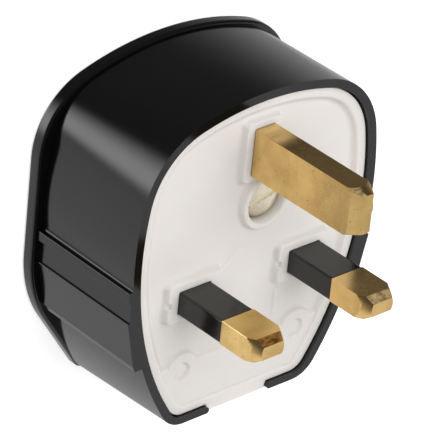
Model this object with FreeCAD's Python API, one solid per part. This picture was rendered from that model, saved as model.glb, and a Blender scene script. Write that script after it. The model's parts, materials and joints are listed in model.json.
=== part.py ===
import math
import os

import FreeCAD
import Part

# All sizes are in millimetres; the pins point up and z = 0 is the plane that meets the socket.

# Pin layout and blades
PIN_PITCH = 22.23
EARTH_Y = 22.23
BLADE_WIDTH = 6.35
BLADE_THICK = 3.97
BLADE_LENGTH = 17.7
EARTH_DEPTH = 7.95
EARTH_LENGTH = 22.73
BLADE_EDGE = 0.3
TIP_HEIGHT = 2.0
TIP_INSET = 1.1
PIN_FIT = 0.05

# Insulating sleeves on the line and neutral blades
SLEEVE_TOP = 9.5
SLEEVE_FOOT = 1.5
SLEEVE_WALL = 0.6

# Base outline, a chain of tangent arcs
BASE_HALF_WIDTH = 22.5
BASE_WIDEST_Y = 9.8
BASE_SIDE_R = 53.0
BASE_TOP_Y = 30.7
BASE_TOP_R = 46.5
BASE_UPPER_R = 12.6
BASE_LOWER_R = 4.0
BASE_BOTTOM_Y = -20.75

# Base plate levels below the socket plane
BORDER_DROP = 0.3
BORDER_WIDTH = 1.6
PANEL_DROP = 1.2
LAND_DROP = 0.6
PANEL_WALL = 2.3
TONGUE_HALF_WIDTH = 5.75
TONGUE_CORNER = 0.6

# Raised pads on the face
EARTH_PAD_HALF_WIDTH = 3.4
EARTH_PAD_MARGIN = 5.0
COLLAR_HALF_WIDTH = 5.15
COLLAR_HALF_DEPTH = 3.4
COLLAR_NOTCH = 0.9
PAD_CORNER = 0.8
RING_R = 3.2
RING_HOLE_R = 1.5
RING_HOLE_DEPTH = 1.4
LAND_RISE = 1.5
RIB_WIDTH = 0.5
RIB_HEIGHT = 0.35
WEB_RIB_LENGTH = 4.8
WEB_RIB_TILT = 39.0
NEUTRAL_RIB_GAP = 1.6
NEUTRAL_RIB_LENGTH = 4.4

# Cover shell
LIP_PROUD = 0.35
LIP_GAP = 0.25
LIP_WALL = 1.45
LIP_EDGE = 0.3
DRAFT_INSET = 0.7
SEAT_WIDTH = 1.2
SHELL_DEPTH = 21.5
ROOT_FLARE = 0.4
BACK_WALL = 2.0

# Rear flange
FLANGE_THICK = 2.3
FLANGE_EDGE = 0.4
FLANGE_HALF_WIDTH = 25.15
FLANGE_TOP_Y = 32.35
FLANGE_TOP_R = 50.0
FLANGE_UPPER_R = 13.0
FLANGE_SHOULDER_Y = -6.2
FLANGE_SHOULDER_R = 22.0
FLANGE_BOTTOM_Y = -25.2
FLANGE_BOTTOM_HALF = 12.6
FLANGE_BOTTOM_R = 8.0

# Stepped side grips
GRIP_TOP_Y = 5.4
GRIP_RIB_X = 25.05
GRIP_RIB_WIDTH = 1.6
GRIP_PANEL_X = 24.3
GRIP_LEDGE_Y = 0.0
GRIP_LEDGE_X = 24.75
GRIP_LOW_X = 22.8
GRIP_LOW_Y = -9.1
GRIP_ROOT_X = 19.5
GRIP_EDGE = 0.25

# Cord entry
CORD_SLOT_GAP = 0.25
CORD_SLOT_DEPTH = 13.5

# Cover screw, its washer and its insert
SCREW_X = 2.2
SCREW_Y = 12.6
SCREW_R = 2.0
SCREW_HEAD_R = 3.4
SCREW_HEAD_HEIGHT = 2.4
SCREW_HEAD_DROP = 1.2
SCREW_REACH = 12.5
SCREW_BOSS_R = 4.8
SCREW_RECESS_GAP = 0.3
SCREW_GAP = 0.2
SLOT_WIDTH = 1.1
SLOT_DEPTH = 1.1
SLOT_TILT = 13.7
BASE_PILLAR_LENGTH = 5.2
WASHER_THICK = 0.8
WASHER_R = 3.9
THREAD_GAP = 0.05
INSERT_R = 3.0
INSERT_LENGTH = 8.0
COVER_PILLAR_R = 4.6

# Terminal blocks and screws
BLOCK_WIDTH = 8.0
BLOCK_HEIGHT = 8.0
EARTH_BLOCK_DEPTH = 9.0
WIRE_HOLE_R = 1.7
WIRE_HOLE_INSET = 2.6
TERMINAL_R = 1.9
TERMINAL_HEAD_R = 2.8
TERMINAL_HEAD_HEIGHT = 1.8
TERMINAL_STICK_OUT = 0.6
TERMINAL_SLOT = 0.8

# Fuse, clips and line terminal
FUSE_R = 3.175
FUSE_LENGTH = 25.4
FUSE_START_Y = -4.6
CAP_LENGTH = 6.0
CAP_WALL = 0.35
TUBE_BORE_R = 2.0
TUBE_RELIEF = 0.1
FUSE_FIT = 0.05
FUSE_WIRE_R = 0.25
CLIP_STRIP = 0.6
CLIP_FLOOR_GAP = 0.3
CLIP_ARM_OVER = 1.2
CLIP_MARGIN = 0.4
PIN_HEAD_HEIGHT = 2.0
RIVET_R = 1.4
LINE_BLOCK_WIDTH = 6.6
LINE_BLOCK_DEPTH = 4.8
LINE_BLOCK_HEIGHT = 6.8
LINE_BLOCK_GAP = 0.5

# Cord grip
GRIP_INSET_Y = 7.45
GRIP_BAR_GAP = 1.46
GRIP_PILLAR_R = 3.2
GRIP_PILLAR_LENGTH = 5.5
GRIP_BAR_R = 2.8
GRIP_BAR_THICK = 3.0
GRIP_SADDLE_R = 14.0
GRIP_SADDLE_DEPTH = 0.9
GRIP_SCREW_R = 1.45
GRIP_SCREW_GAP = 0.1
GRIP_SCREW_REACH = 4.0
GRIP_HEAD_R = 2.7
GRIP_HEAD_HEIGHT = 1.8

# Levels that follow from the sizes above
LIP_Z = LIP_PROUD
BORDER_Z = -BORDER_DROP
PANEL_Z = -PANEL_DROP
LAND_Z = -LAND_DROP
SEAT_Z = PANEL_Z - PANEL_WALL
FLANGE_Z = -SHELL_DEPTH
BACK_Z = FLANGE_Z - FLANGE_THICK
CAVITY_Z = BACK_Z + BACK_WALL
LIP_OUT = LIP_GAP + LIP_WALL
LINE_X = -PIN_PITCH / 2
NEUTRAL_X = PIN_PITCH / 2
GRIP_SCREW_Y = BASE_BOTTOM_Y + GRIP_INSET_Y
GRIP_RISE = BASE_WIDEST_Y - GRIP_SCREW_Y
GRIP_WALL_X = BASE_HALF_WIDTH - BASE_SIDE_R + math.sqrt((BASE_SIDE_R - SEAT_WIDTH) ** 2 - GRIP_RISE ** 2)
GRIP_SCREW_X = GRIP_WALL_X - GRIP_BAR_R - GRIP_BAR_GAP


def vec(x, y, z=0.0):
    return FreeCAD.Vector(x, y, z)


def polar(centre, radius, angle):
    return vec(centre[0] + radius * math.cos(angle), centre[1] + radius * math.sin(angle))


def arc(centre, radius, start, end):
    # Arc in the plane z = 0 from one angle to another
    middle = polar(centre, radius, (start + end) / 2)
    return Part.Arc(polar(centre, radius, start), middle, polar(centre, radius, end)).toShape()


def mirrored(shape):
    return shape.mirror(vec(0, 0, 0), vec(1, 0, 0))


def closed(right_edges, top_edges, bottom_y, bottom_x):
    # Outline from the edges of its right half, its top arc and a straight bottom
    edges = right_edges + top_edges + [mirrored(edge) for edge in reversed(right_edges)]
    edges.append(Part.makeLine(vec(-bottom_x, bottom_y), vec(bottom_x, bottom_y)))
    return Part.Wire(Part.__sortEdges__(edges))


def shield(grow):
    # Outline of the base, grown outwards; every arc keeps its centre
    side = (BASE_HALF_WIDTH - BASE_SIDE_R, BASE_WIDEST_Y)
    top = (0.0, BASE_TOP_Y - BASE_TOP_R)
    span = math.hypot(side[0] - top[0], side[1] - top[1])
    reach_side = BASE_SIDE_R - BASE_UPPER_R
    reach_top = BASE_TOP_R - BASE_UPPER_R
    along = (reach_side ** 2 - reach_top ** 2 + span ** 2) / (2 * span)
    across = math.sqrt(reach_side ** 2 - along ** 2)
    ux = (top[0] - side[0]) / span
    uy = (top[1] - side[1]) / span
    upper = (side[0] + along * ux - across * uy, side[1] + along * uy + across * ux)
    low_y = BASE_BOTTOM_Y + BASE_LOWER_R
    low_x = side[0] + math.sqrt((BASE_SIDE_R - BASE_LOWER_R) ** 2 - (low_y - side[1]) ** 2)
    low_angle = math.atan2(low_y - side[1], low_x - side[0])
    up_angle = math.atan2(upper[1] - side[1], upper[0] - side[0])
    top_angle = math.atan2(upper[1] - top[1], upper[0] - top[0])
    right = [
        arc((low_x, low_y), BASE_LOWER_R + grow, -math.pi / 2, low_angle),
        arc(side, BASE_SIDE_R + grow, low_angle, up_angle),
        arc(upper, BASE_UPPER_R + grow, up_angle, top_angle),
    ]
    crown = [arc(top, BASE_TOP_R + grow, top_angle, math.pi - top_angle)]
    return closed(right, crown, BASE_BOTTOM_Y - grow, low_x)


def corner(before, at, after, radius):
    # Tangent arc in a corner: its first point, its middle and its last point
    a = vec(*before) - vec(*at)
    b = vec(*after) - vec(*at)
    a.normalize()
    b.normalize()
    half = a.getAngle(b) / 2
    bisector = a + b
    bisector.normalize()
    run = radius / math.tan(half)
    drop = radius / math.sin(half) - radius
    return vec(*at) + a * run, vec(*at) + bisector * drop, vec(*at) + b * run


def rounded(points):
    # Closed outline through (x, y, radius) corners
    edges = []
    last = None
    first = None
    count = len(points)
    for i in range(count):
        x, y, radius = points[i]
        before = points[i - 1][:2]
        after = points[(i + 1) % count][:2]
        if radius > 0:
            start, middle, end = corner(before, (x, y), after, radius)
        else:
            start = end = vec(x, y)
        if last is None:
            first = start
        else:
            edges.append(Part.makeLine(last, start))
        if radius > 0:
            edges.append(Part.Arc(start, middle, end).toShape())
        last = end
    edges.append(Part.makeLine(last, first))
    return Part.Wire(edges)


def rectangle(width, depth, radius):
    w = width / 2
    d = depth / 2
    return rounded([(-w, -d, radius), (w, -d, radius), (w, d, radius), (-w, d, radius)])


def bevelled(width, depth, edge):
    w = width / 2
    d = depth / 2
    right = [(w - edge, -d), (w, -d + edge), (w, d - edge), (w - edge, d)]
    left = [(-x, y) for x, y in reversed(right)]
    return rounded([(x, y, 0) for x, y in right + left])


def flange_outline():
    # The flange has straight flanks that slant in below a shoulder
    half = FLANGE_HALF_WIDTH
    base = (FLANGE_BOTTOM_HALF, FLANGE_BOTTOM_Y)
    shoulder = (half, FLANGE_SHOULDER_Y)
    top = (0.0, FLANGE_TOP_Y - FLANGE_TOP_R)
    upper_x = half - FLANGE_UPPER_R
    upper_y = top[1] + math.sqrt((FLANGE_TOP_R - FLANGE_UPPER_R) ** 2 - upper_x ** 2)
    top_angle = math.atan2(upper_y - top[1], upper_x)
    low = corner((0.0, FLANGE_BOTTOM_Y), base, shoulder, FLANGE_BOTTOM_R)
    high = corner(base, shoulder, (half, upper_y), FLANGE_SHOULDER_R)
    right = [
        Part.Arc(*low).toShape(),
        Part.makeLine(low[2], high[0]),
        Part.Arc(*high).toShape(),
        Part.makeLine(high[2], vec(half, upper_y)),
        arc((upper_x, upper_y), FLANGE_UPPER_R, 0.0, top_angle),
    ]
    crown = [arc(top, FLANGE_TOP_R, top_angle, math.pi - top_angle)]
    return closed(right, crown, FLANGE_BOTTOM_Y, low[0].x)


def grip_outline():
    # Right grip: a rib, a sunk panel, then a ledge that slants in
    edge = GRIP_EDGE
    step_y = GRIP_TOP_Y - GRIP_RIB_WIDTH
    sink = GRIP_RIB_X - GRIP_PANEL_X
    return rounded([
        (GRIP_ROOT_X, GRIP_LOW_Y, 0),
        (GRIP_LOW_X, GRIP_LOW_Y, edge),
        (GRIP_LEDGE_X, GRIP_LEDGE_Y, edge),
        (GRIP_PANEL_X, GRIP_LEDGE_Y, 0),
        (GRIP_PANEL_X, step_y - sink, 0),
        (GRIP_RIB_X, step_y, 0),
        (GRIP_RIB_X, GRIP_TOP_Y, edge),
        (GRIP_ROOT_X, GRIP_TOP_Y, 0),
    ])


def prism(outline, low, high):
    face = Part.Face(outline)
    face.translate(vec(0, 0, low))
    return face.extrude(vec(0, 0, high - low))


def lofted(sections):
    # Ruled solid through (outline, z) sections
    wires = []
    for outline, z in sections:
        wire = outline.copy()
        wire.translate(vec(0, 0, z))
        wires.append(wire)
    return Part.makeLoft(wires, True, True)


def rod(x, y, low, high, radius):
    return Part.makeCylinder(radius, high - low, vec(x, y, low), vec(0, 0, 1))


def rod_y(x, z, low, high, radius):
    return Part.makeCylinder(radius, high - low, vec(x, low, z), vec(0, 1, 0))


def block(x0, x1, y0, y1, z0, z1):
    return Part.makeBox(x1 - x0, y1 - y0, z1 - z0, vec(x0, y0, z0))


def at(shape, x, y):
    moved = shape.copy()
    moved.translate(vec(x, y, 0))
    return moved


def joined(first, *others):
    return first.fuse(list(others)).removeSplitter()


def blade_body(width, depth, low, high):
    # Blade with bevelled edges and a bevel on all four sides of its tip
    root = prism(bevelled(width, depth, BLADE_EDGE), low, high - TIP_HEIGHT)
    full = bevelled(width, depth, BLADE_EDGE)
    small = bevelled(width - 2 * TIP_INSET, depth - 2 * TIP_INSET, BLADE_EDGE)
    return joined(root, lofted([(full, high - TIP_HEIGHT), (small, high)]))


def neck_outline():
    return bevelled(BLADE_WIDTH - 2 * SLEEVE_WALL, BLADE_THICK - 2 * SLEEVE_WALL, BLADE_EDGE)


def sleeve():
    outer = prism(bevelled(BLADE_WIDTH, BLADE_THICK, BLADE_EDGE), -SLEEVE_FOOT, SLEEVE_TOP)
    return outer.cut(prism(neck_outline(), -SLEEVE_FOOT, SLEEVE_TOP))


def sleeved_blade():
    whole = blade_body(BLADE_WIDTH, BLADE_THICK, SEAT_Z, BLADE_LENGTH)
    return whole.cut(sleeve())


def terminal_block(width, depth, wire_y):
    # Block under the base with a wire hole and a screw hole from the back
    low = SEAT_Z - BLOCK_HEIGHT
    body = block(-width / 2, width / 2, -depth / 2, depth / 2, low, SEAT_Z)
    wire_z = SEAT_Z - WIRE_HOLE_INSET
    hole = rod_y(0, wire_z, min(wire_y, 0), max(wire_y, 0), WIRE_HOLE_R)
    return body.cut(hole).cut(rod(0, 0, low, wire_z, TERMINAL_R + THREAD_GAP))


def slotted_head(radius, height, low, slot, depth, tilt, upward):
    # Cheese head with a straight slot in its outer face
    head = rod(0, 0, low, low + height, radius)
    floor = low + height - depth if upward else low
    cutter = block(-2 * radius, 2 * radius, -slot / 2, slot / 2, floor, floor + depth)
    cutter.rotate(vec(0, 0, 0), vec(0, 0, 1), tilt)
    return head.cut(cutter)


def terminal_screw(block_low, wire_z):
    # Screw that presses on the conductor from the back of its block
    head_low = block_low - TERMINAL_STICK_OUT - TERMINAL_HEAD_HEIGHT
    head = slotted_head(TERMINAL_HEAD_R, TERMINAL_HEAD_HEIGHT, head_low, TERMINAL_SLOT, TERMINAL_SLOT, 0, False)
    shank = rod(0, 0, head_low + TERMINAL_HEAD_HEIGHT, wire_z - WIRE_HOLE_R / 2, TERMINAL_R)
    return joined(head, shank)


def fuse_clip(y0, y1, arm_y0, arm_y1):
    # U shaped strip: a floor on its seat and two arms that hug the fuse cap
    floor_top = SEAT_Z - PIN_HEAD_HEIGHT
    reach = FUSE_R + FUSE_FIT
    outer = reach + CLIP_STRIP
    tip = FUSE_Z - FUSE_R - CLIP_ARM_OVER
    strip = block(LINE_X - outer, LINE_X + outer, y0, y1, floor_top - CLIP_STRIP, floor_top)
    left = block(LINE_X - outer, LINE_X - reach, arm_y0, arm_y1, tip, floor_top)
    right = block(LINE_X + reach, LINE_X + outer, arm_y0, arm_y1, tip, floor_top)
    return joined(strip, left, right)


def fuse_cap(y0, y1, open_y):
    cap = rod_y(LINE_X, FUSE_Z, y0, y1, FUSE_R)
    if open_y == y1:
        hollow = rod_y(LINE_X, FUSE_Z, y0 + CAP_WALL, y1, FUSE_R - CAP_WALL)
    else:
        hollow = rod_y(LINE_X, FUSE_Z, y0, y1 - CAP_WALL, FUSE_R - CAP_WALL)
    return cap.cut(hollow)


FUSE_Z = SEAT_Z - PIN_HEAD_HEIGHT - CLIP_STRIP - CLIP_FLOOR_GAP - FUSE_R
FUSE_END_Y = FUSE_START_Y + FUSE_LENGTH
CLIP_Z = SEAT_Z - PIN_HEAD_HEIGHT
LINE_BLOCK_Y = FUSE_END_Y + LINE_BLOCK_GAP + LINE_BLOCK_DEPTH / 2
PILLAR_Z = SEAT_Z - BASE_PILLAR_LENGTH
COVER_PILLAR_Z = PILLAR_Z - WASHER_THICK
GRIP_Z = SEAT_Z - GRIP_PILLAR_LENGTH
HEAD_LOW_Z = -SCREW_HEAD_DROP - SCREW_HEAD_HEIGHT
SIDES = (-1, 1)

nodes = {}

# Cover: tapered shell, flange and grips
rear_grow = LIP_OUT - DRAFT_INSET
shell = lofted([
    (shield(LIP_OUT - LIP_EDGE), LIP_Z),
    (shield(LIP_OUT), LIP_Z - LIP_EDGE),
    (shield(rear_grow), FLANGE_Z + ROOT_FLARE),
    (shield(rear_grow + ROOT_FLARE), FLANGE_Z),
])
flange = prism(flange_outline(), BACK_Z, FLANGE_Z)
rim = [edge for edge in flange.Edges if edge.BoundBox.ZMin > FLANGE_Z - 0.01]
flange = flange.makeChamfer(FLANGE_EDGE, rim)
grip = prism(grip_outline(), FLANGE_Z, LIP_Z)
cover = joined(shell, flange, grip, mirrored(grip))

# Cover: seat for the base, wiring space, pillar and cord slot
cover = cover.cut(prism(shield(LIP_GAP), SEAT_Z, LIP_Z + 1))
cover = cover.cut(prism(shield(-SEAT_WIDTH), CAVITY_Z, SEAT_Z))
pillar = rod(SCREW_X, SCREW_Y, CAVITY_Z, COVER_PILLAR_Z, COVER_PILLAR_R)
cover = joined(cover, pillar)
cover = cover.cut(rod(SCREW_X, SCREW_Y, COVER_PILLAR_Z - INSERT_LENGTH, COVER_PILLAR_Z, INSERT_R))
screw_end_z = COVER_PILLAR_Z - SCREW_REACH + WASHER_THICK
tip_hole = rod(SCREW_X, SCREW_Y, screw_end_z, COVER_PILLAR_Z, SCREW_R + SCREW_GAP)
cover = cover.cut(tip_hole)
slot_half = TONGUE_HALF_WIDTH + CORD_SLOT_GAP
slot_turn_z = slot_half - CORD_SLOT_DEPTH
slot_y0 = FLANGE_BOTTOM_Y - 1
slot_y1 = BASE_BOTTOM_Y + BASE_LOWER_R
cord_slot = joined(
    block(-slot_half, slot_half, slot_y0, slot_y1, slot_turn_z, LIP_Z + 1),
    rod_y(0, slot_turn_z, slot_y0, slot_y1, slot_half),
)
nodes["cover"] = cover.cut(cord_slot)

# Base: plate with a tongue that closes the cord slot
tongue_y = BASE_BOTTOM_Y - LIP_OUT
half = TONGUE_HALF_WIDTH
tongue_top = BASE_BOTTOM_Y + BASE_LOWER_R
tongue = prism(rounded([
    (-half, tongue_y, TONGUE_CORNER),
    (half, tongue_y, TONGUE_CORNER),
    (half, tongue_top, 0),
    (-half, tongue_top, 0),
]), SEAT_Z, BORDER_Z)
base = joined(prism(shield(0), SEAT_Z, BORDER_Z), tongue)
base = base.cut(prism(shield(-BORDER_WIDTH), PANEL_Z, BORDER_Z))

# Base: raised pads round the pins and the screw, and the land over the cord grip
pad_depth = EARTH_DEPTH / 2 + EARTH_PAD_MARGIN / 4
earth_pad = prism(rectangle(2 * EARTH_PAD_HALF_WIDTH, 2 * pad_depth, PAD_CORNER), PANEL_Z, 0)
collar = prism(rectangle(2 * COLLAR_HALF_WIDTH, 2 * COLLAR_HALF_DEPTH, PAD_CORNER), PANEL_Z, 0)
for side in SIDES:
    edge_x = side * COLLAR_HALF_WIDTH
    notch = block(-COLLAR_NOTCH, COLLAR_NOTCH, -COLLAR_NOTCH / 2, COLLAR_NOTCH / 2, PANEL_Z, 0)
    collar = collar.cut(at(notch, edge_x, 0))
pads = [
    at(earth_pad, 0, EARTH_Y),
    rod(SCREW_X, SCREW_Y, PANEL_Z, 0, SCREW_BOSS_R),
    at(collar, LINE_X, 0),
    at(collar, NEUTRAL_X, 0),
]
panel = prism(shield(-BORDER_WIDTH), PANEL_Z, LAND_Z)
land_top = GRIP_SCREW_Y + LAND_RISE
pads.append(panel.common(block(-BASE_SIDE_R, BASE_SIDE_R, BASE_BOTTOM_Y, land_top, PANEL_Z, LAND_Z)))
for side in SIDES:
    pads.append(rod(side * GRIP_SCREW_X, GRIP_SCREW_Y, PANEL_Z, LAND_Z, RING_R))

# Base: two low ribs beside the neutral pin and between the line pin and the screw
rib_top = PANEL_Z + RIB_HEIGHT
rib_x = NEUTRAL_X - COLLAR_HALF_WIDTH + PAD_CORNER
rib_y = -COLLAR_HALF_DEPTH - NEUTRAL_RIB_GAP
pads.append(block(rib_x, rib_x + RIB_WIDTH, rib_y - NEUTRAL_RIB_LENGTH, rib_y, PANEL_Z, rib_top))
web_rib = block(0, WEB_RIB_LENGTH, -RIB_WIDTH / 2, RIB_WIDTH / 2, PANEL_Z, rib_top)
web_rib.rotate(vec(0, 0, 0), vec(0, 0, 1), WEB_RIB_TILT)
pads.append(at(web_rib, LINE_X + COLLAR_HALF_WIDTH + RIB_WIDTH, COLLAR_HALF_DEPTH / 2))
base = joined(base, *pads)

# Base: pillars and the fuse seat on the back
supports = [rod(SCREW_X, SCREW_Y, PILLAR_Z, SEAT_Z, SCREW_BOSS_R)]
for side in SIDES:
    supports.append(rod(side * GRIP_SCREW_X, GRIP_SCREW_Y, GRIP_Z, SEAT_Z, GRIP_PILLAR_R))
seat_y0 = FUSE_END_Y - CAP_LENGTH
seat_y1 = LINE_BLOCK_Y + LINE_BLOCK_DEPTH / 2
seat_half = LINE_BLOCK_WIDTH / 2
supports.append(block(LINE_X - seat_half, LINE_X + seat_half, seat_y0, seat_y1, CLIP_Z, SEAT_Z))
base = joined(base, *supports)

# Base: openings for the pins and screws
blade_hole = bevelled(BLADE_WIDTH + 2 * PIN_FIT, BLADE_THICK + 2 * PIN_FIT, BLADE_EDGE)
earth_hole = bevelled(BLADE_THICK + 2 * PIN_FIT, EARTH_DEPTH + 2 * PIN_FIT, BLADE_EDGE)
openings = [
    at(prism(blade_hole, SEAT_Z, 0), LINE_X, 0),
    at(prism(blade_hole, SEAT_Z, 0), NEUTRAL_X, 0),
    at(prism(earth_hole, SEAT_Z, 0), 0, EARTH_Y),
    rod(SCREW_X, SCREW_Y, HEAD_LOW_Z, 0, SCREW_HEAD_R + SCREW_RECESS_GAP),
    rod(SCREW_X, SCREW_Y, PILLAR_Z, HEAD_LOW_Z, SCREW_R + SCREW_GAP),
    rod(LINE_X, LINE_BLOCK_Y, CLIP_Z, CLIP_Z + RIVET_R, RIVET_R),
]
for side in SIDES:
    x = side * GRIP_SCREW_X
    openings.append(rod(x, GRIP_SCREW_Y, LAND_Z - RING_HOLE_DEPTH, LAND_Z, RING_HOLE_R))
    openings.append(rod(x, GRIP_SCREW_Y, GRIP_Z, GRIP_Z + GRIP_SCREW_REACH + GRIP_SCREW_GAP, GRIP_SCREW_R))
for opening in openings:
    base = base.cut(opening)
nodes["base"] = base

# Earth and neutral pins with their terminal blocks
earth_blade = blade_body(BLADE_THICK, EARTH_DEPTH, SEAT_Z, EARTH_LENGTH)
earth_block = terminal_block(BLOCK_WIDTH, EARTH_BLOCK_DEPTH, -EARTH_BLOCK_DEPTH)
nodes["earth_pin"] = at(joined(earth_blade, earth_block), 0, EARTH_Y)
neutral_block = terminal_block(BLOCK_WIDTH, BLOCK_WIDTH, -BLOCK_WIDTH)
nodes["neutral_pin"] = at(joined(sleeved_blade(), neutral_block), NEUTRAL_X, 0)

# Line pin with a flat head and a rivet for the fuse clip
line_head = block(-BLOCK_WIDTH / 2, BLOCK_WIDTH / 2, -BLADE_THICK, BLADE_THICK, CLIP_Z, SEAT_Z)
rivet = rod(0, 0, CLIP_Z - CLIP_STRIP, CLIP_Z, RIVET_R)
nodes["line_pin"] = at(joined(sleeved_blade(), line_head, rivet), LINE_X, 0)
nodes["neutral_sleeve"] = at(sleeve(), NEUTRAL_X, 0)
nodes["line_sleeve"] = at(sleeve(), LINE_X, 0)

# Terminal screws of the earth and neutral pins
pin_screw = terminal_screw(SEAT_Z - BLOCK_HEIGHT, SEAT_Z - WIRE_HOLE_INSET)
nodes["earth_terminal_screw"] = at(pin_screw, 0, EARTH_Y)
nodes["neutral_terminal_screw"] = at(pin_screw, NEUTRAL_X, 0)

# Line terminal: block riveted through its clip into the base
line_high = CLIP_Z - CLIP_STRIP
line_low = line_high - LINE_BLOCK_HEIGHT
line_wire_z = line_high - WIRE_HOLE_INSET
w = LINE_BLOCK_WIDTH / 2
d = LINE_BLOCK_DEPTH / 2
line_body = joined(
    block(-w, w, -d, d, line_low, line_high),
    rod(0, 0, line_high, CLIP_Z + RIVET_R, RIVET_R),
)
wire_hole = Part.makeCylinder(WIRE_HOLE_R, w, vec(0, 0, line_wire_z), vec(1, 0, 0))
line_body = line_body.cut(wire_hole).cut(rod(0, 0, line_low, line_wire_z, TERMINAL_R + THREAD_GAP))
nodes["line_terminal"] = at(line_body, LINE_X, LINE_BLOCK_Y)
nodes["line_terminal_screw"] = at(terminal_screw(line_low, line_wire_z), LINE_X, LINE_BLOCK_Y)

# Fuse clips, each with a hole for its rivet
cap_end_y = FUSE_START_Y + CAP_LENGTH
pin_clip = fuse_clip(FUSE_START_Y, BLADE_THICK, FUSE_START_Y + CLIP_MARGIN, cap_end_y - CLIP_MARGIN)
nodes["pin_fuse_clip"] = pin_clip.cut(rod(LINE_X, 0, CLIP_Z - CLIP_STRIP, CLIP_Z, RIVET_R))
far_clip = fuse_clip(seat_y0, seat_y1, seat_y0 + CLIP_MARGIN, FUSE_END_Y - CLIP_MARGIN)
nodes["terminal_fuse_clip"] = far_clip.cut(rod(LINE_X, LINE_BLOCK_Y, CLIP_Z - CLIP_STRIP, CLIP_Z, RIVET_R))

# Cartridge fuse: stepped tube, two caps and the wire
inner_r = FUSE_R - CAP_WALL
tube = joined(
    rod_y(LINE_X, FUSE_Z, FUSE_START_Y + CAP_WALL, FUSE_END_Y - CAP_WALL, inner_r),
    rod_y(LINE_X, FUSE_Z, cap_end_y, seat_y0, FUSE_R - TUBE_RELIEF),
)
nodes["fuse_tube"] = tube.cut(rod_y(LINE_X, FUSE_Z, FUSE_START_Y, FUSE_END_Y, TUBE_BORE_R))
nodes["pin_fuse_cap"] = fuse_cap(FUSE_START_Y, cap_end_y, cap_end_y)
nodes["terminal_fuse_cap"] = fuse_cap(seat_y0, FUSE_END_Y, seat_y0)
nodes["fuse_wire"] = rod_y(LINE_X, FUSE_Z, FUSE_START_Y + CAP_WALL, FUSE_END_Y - CAP_WALL, FUSE_WIRE_R)

# Cover screw, its retaining washer and the insert it turns in
screw_head = slotted_head(
    SCREW_HEAD_R, SCREW_HEAD_HEIGHT, HEAD_LOW_Z, SLOT_WIDTH, SLOT_DEPTH, SLOT_TILT, True)
shank = rod(0, 0, screw_end_z + SCREW_GAP, HEAD_LOW_Z, SCREW_R)
nodes["cover_screw"] = at(joined(screw_head, shank), SCREW_X, SCREW_Y)
washer = rod(SCREW_X, SCREW_Y, COVER_PILLAR_Z, PILLAR_Z, WASHER_R)
insert_low = COVER_PILLAR_Z - INSERT_LENGTH
insert = rod(SCREW_X, SCREW_Y, insert_low, COVER_PILLAR_Z, INSERT_R)
thread = rod(SCREW_X, SCREW_Y, insert_low, PILLAR_Z, SCREW_R + THREAD_GAP)
nodes["screw_washer"] = washer.cut(thread)
nodes["cover_insert"] = insert.cut(thread)

# Cord grip: saddle bar and its two screws
bar_low = GRIP_Z - GRIP_BAR_THICK
bar = joined(
    block(-GRIP_SCREW_X, GRIP_SCREW_X, GRIP_SCREW_Y - GRIP_BAR_R, GRIP_SCREW_Y + GRIP_BAR_R, bar_low, GRIP_Z),
    rod(-GRIP_SCREW_X, GRIP_SCREW_Y, bar_low, GRIP_Z, GRIP_BAR_R),
    rod(GRIP_SCREW_X, GRIP_SCREW_Y, bar_low, GRIP_Z, GRIP_BAR_R),
)
saddle_z = GRIP_Z + GRIP_SADDLE_R - GRIP_SADDLE_DEPTH
bar = bar.cut(rod_y(0, saddle_z, GRIP_SCREW_Y - 2 * GRIP_BAR_R, GRIP_SCREW_Y + 2 * GRIP_BAR_R, GRIP_SADDLE_R))
grip_head = slotted_head(
    GRIP_HEAD_R, GRIP_HEAD_HEIGHT, bar_low - GRIP_HEAD_HEIGHT, TERMINAL_SLOT, TERMINAL_SLOT, 0, False)
grip_screw = joined(grip_head, rod(0, 0, bar_low, GRIP_Z + GRIP_SCREW_REACH, GRIP_SCREW_R))
for side, name in zip(SIDES, ("line_grip_screw", "neutral_grip_screw")):
    x = side * GRIP_SCREW_X
    bar = bar.cut(rod(x, GRIP_SCREW_Y, bar_low, GRIP_Z, GRIP_SCREW_R + GRIP_SCREW_GAP))
    nodes[name] = at(grip_screw, x, GRIP_SCREW_Y)
nodes["cord_grip_bar"] = bar

os.makedirs("parts", exist_ok=True)
for name, shape in nodes.items():
    shape.exportStep("parts/" + name + ".step")
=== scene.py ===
import json
import math
from collections import namedtuple

import bpy
from mathutils import Matrix, Vector

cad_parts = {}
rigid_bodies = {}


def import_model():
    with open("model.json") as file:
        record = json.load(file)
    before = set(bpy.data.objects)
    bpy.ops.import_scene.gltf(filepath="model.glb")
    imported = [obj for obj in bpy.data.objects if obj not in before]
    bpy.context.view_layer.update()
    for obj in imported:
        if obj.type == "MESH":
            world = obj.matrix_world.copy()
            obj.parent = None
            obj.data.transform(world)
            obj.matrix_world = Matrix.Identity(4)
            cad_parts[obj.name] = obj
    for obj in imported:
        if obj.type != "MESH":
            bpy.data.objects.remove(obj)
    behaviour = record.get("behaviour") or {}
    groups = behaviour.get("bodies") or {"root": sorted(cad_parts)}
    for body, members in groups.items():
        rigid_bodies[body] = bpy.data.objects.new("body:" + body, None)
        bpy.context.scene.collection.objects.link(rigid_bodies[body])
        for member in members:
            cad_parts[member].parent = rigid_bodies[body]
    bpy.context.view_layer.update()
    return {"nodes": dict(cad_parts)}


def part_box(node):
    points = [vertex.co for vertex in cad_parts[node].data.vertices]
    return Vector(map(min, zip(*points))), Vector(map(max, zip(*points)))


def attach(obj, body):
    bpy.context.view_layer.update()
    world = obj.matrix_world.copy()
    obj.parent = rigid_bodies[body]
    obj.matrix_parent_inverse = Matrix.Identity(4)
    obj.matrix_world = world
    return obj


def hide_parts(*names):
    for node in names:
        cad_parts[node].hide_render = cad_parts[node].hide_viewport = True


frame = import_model()
nodes = frame["nodes"]

MM = 0.001

Extent = namedtuple("Extent", "low high middle size")


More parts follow.
